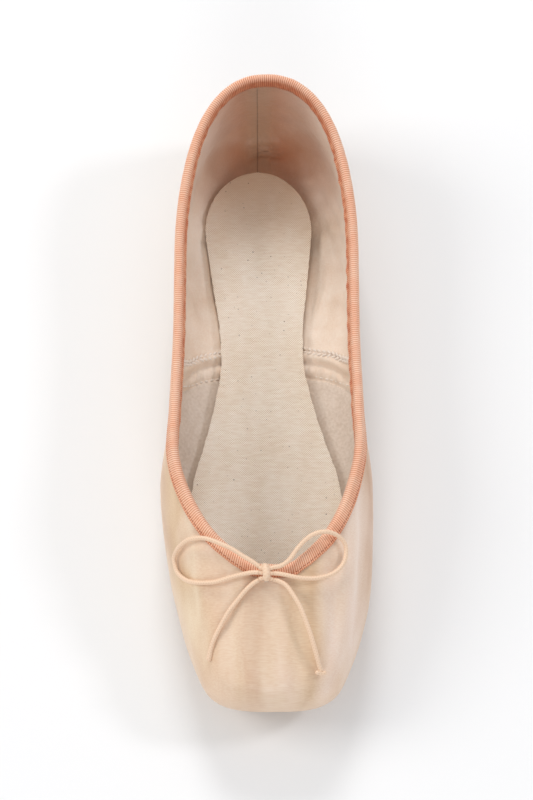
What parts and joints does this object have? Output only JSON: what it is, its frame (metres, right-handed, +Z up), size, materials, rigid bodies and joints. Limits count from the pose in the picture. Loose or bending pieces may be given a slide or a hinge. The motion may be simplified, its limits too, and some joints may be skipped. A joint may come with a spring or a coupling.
{
  "type": "pointe shoe",
  "caption": "Satin dance shoe with a stiff blocked toe, soft quarters, taped collar with a small drawstring bow, canvas insole and a narrow leather sole.",
  "frame": {"origin": "on the floor under the middle of the shoe's length and width", "axes": "toe towards -Y, heel towards +Y, +Z up, x = 0 halves the heel and the waist; the toe box leans 2 mm towards +X"},
  "size_m": [0.076, 0.232, 0.056],
  "materials": {
    "sole_leather": "matte suede-like leather",
    "satin": "pale peach-pink satin",
    "tape": "salmon ribbed tape",
    "canvas": "unbleached woven canvas",
    "cord": "thin pale peach cord"
  },
  "bodies": {
    "root": {"outsole": "sole_leather", "upper": "satin", "binding": "tape", "insole": "canvas", "drawstring_knot": "cord", "drawstring_loop_left": "cord", "drawstring_loop_right": "cord", "drawstring_end_left": "cord", "drawstring_end_right": "cord"}
  },
  "joints": []
}
